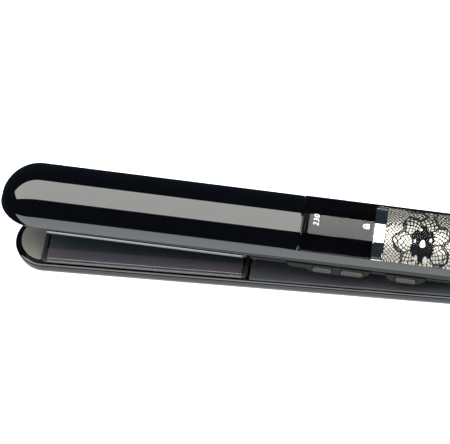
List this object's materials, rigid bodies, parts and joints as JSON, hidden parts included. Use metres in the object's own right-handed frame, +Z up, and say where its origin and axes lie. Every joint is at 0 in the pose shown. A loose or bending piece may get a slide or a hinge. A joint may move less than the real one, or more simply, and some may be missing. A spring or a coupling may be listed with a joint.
{
  "type": "hair straightener",
  "caption": "Two-arm hair styling iron with sprung flat heated plates, lace-pattern display window, edge buttons and a cord swivel, lying slightly open.",
  "frame": {"origin": "on the flat underside of the lower arm, on its centre line, 150 mm behind the nose of the shut upper arm", "axes": "+X along the arms from nose to hinge, +Z up from the surface it lies on, -Y towards the edge with the buttons"},
  "size_m": [0.3301, 0.0408, 0.0565],
  "materials": {
    "gloss_black_shell": "piano black gloss",
    "grey_heatproof_plastic": "satin grey, heat-proof",
    "satin_black_plastic": "fine satin",
    "dark_inner_plastic": "plain moulded",
    "coated_plate": "dark ceramic coating over aluminium, bright bevelled edge",
    "steel": "plain",
    "ceramic": "fired ceramic",
    "silicone": "moulded",
    "red_lead": "silicone insulation",
    "blue_lead": "silicone insulation",
    "clear_cover": "clear polished acrylic",
    "display_black": "black display window",
    "chrome": "mirror",
    "lace_film": "black lace pattern on silver film",
    "circuit_board": "solder mask",
    "lamp_white": "diffusing lamp"
  },
  "bodies": {
    "root": {"lower_shell": "gloss_black_shell", "lower_nose_cover": "grey_heatproof_plastic", "lower_inner_cover": "satin_black_plastic", "lower_cover_screw_front": "steel", "lower_cover_screw_rear": "steel", "lower_hinge_leaf": "satin_black_plastic", "hinge_pin": "steel", "torsion_spring": "steel", "swivel_socket": "gloss_black_shell", "stop_pad_near": "grey_heatproof_plastic", "stop_pad_far": "grey_heatproof_plastic", "lower_plate_frame": "grey_heatproof_plastic", "lower_float_pad_front": "silicone", "lower_float_pad_rear": "silicone", "lower_lead_live": "red_lead", "lower_lead_neutral": "blue_lead"},
    "lower_plate_carriage": {"lower_plate": "coated_plate", "lower_heater": "ceramic", "lower_heater_clip": "steel", "lower_thermistor": "ceramic"},
    "upper_arm": {"upper_shell": "gloss_black_shell", "upper_nose_cover": "grey_heatproof_plastic", "upper_inner_cover": "satin_black_plastic", "upper_cover_screw_front": "steel", "upper_cover_screw_rear": "steel", "upper_hinge_leaf": "satin_black_plastic", "upper_plate_frame": "grey_heatproof_plastic", "upper_float_pad_front": "silicone", "upper_float_pad_rear": "silicone", "upper_lead_live": "red_lead", "upper_lead_neutral": "blue_lead", "display_cover": "clear_cover", "display_panel": "display_black", "chrome_band": "chrome", "lace_panel": "lace_film", "board_tray": "dark_inner_plastic", "control_board": "circuit_board", "triac": "dark_inner_plastic", "lamp_230": "lamp_white", "lamp_210": "lamp_white", "lamp_190": "lamp_white", "lamp_170": "lamp_white", "lamp_150": "lamp_white", "lamp_lock": "lamp_white", "temperature_bezel": "satin_black_plastic", "power_bezel": "satin_black_plastic", "plus_switch": "steel", "minus_switch": "steel", "power_switch": "steel"},
    "upper_plate_carriage": {"upper_plate": "coated_plate", "upper_heater": "ceramic", "upper_heater_clip": "steel", "upper_thermistor": "ceramic"},
    "plus_button": {"plus_button": "satin_black_plastic"},
    "minus_button": {"minus_button": "satin_black_plastic"},
    "power_button": {"power_button": "satin_black_plastic"},
    "swivel_gland": {"swivel_gland": "satin_black_plastic"}
  },
  "joints": [
    {"name": "arm_hinge", "type": "hinge", "parent": "root", "child": "upper_arm", "pos_m": [0.15, 0, 0.0149], "axis": [0, 1, 0], "range_deg": [-3.5, 0], "stiffness_Nm_per_rad": 2, "springref_deg": 20.05},
    {"name": "lower_plate_float", "type": "slide", "parent": "root", "child": "lower_plate_carriage", "axis": [0, 0, 1], "range_m": [-0.0006, 0], "stiffness_N_per_m": 4000, "springref_m": 0.0005, "deforming": ["lower_float_pad_front", "lower_float_pad_rear"]},
    {"name": "upper_plate_float", "type": "slide", "parent": "upper_arm", "child": "upper_plate_carriage", "axis": [0.0612, 0, 0.9981], "range_m": [0, 0.0006], "stiffness_N_per_m": 4000, "springref_m": -0.0005, "deforming": ["upper_float_pad_front", "upper_float_pad_rear"]},
    {"name": "plus_press", "type": "slide", "parent": "upper_arm", "child": "plus_button", "axis": [0, 1, 0], "range_m": [0, 0.0005], "stiffness_N_per_m": 800, "springref_m": -0.0006},
    {"name": "minus_press", "type": "slide", "parent": "upper_arm", "child": "minus_button", "axis": [0, 1, 0], "range_m": [0, 0.0005], "stiffness_N_per_m": 800, "springref_m": -0.0006},
    {"name": "power_press", "type": "slide", "parent": "upper_arm", "child": "power_button", "axis": [0, 1, 0], "range_m": [0, 0.0005], "stiffness_N_per_m": 800, "springref_m": -0.0006},
    {"name": "cord_swivel", "type": "hinge", "parent": "root", "child": "swivel_gland", "pos_m": [0.175, 0, 0.0096], "axis": [1, 0, 0], "continuous": true}
  ]
}
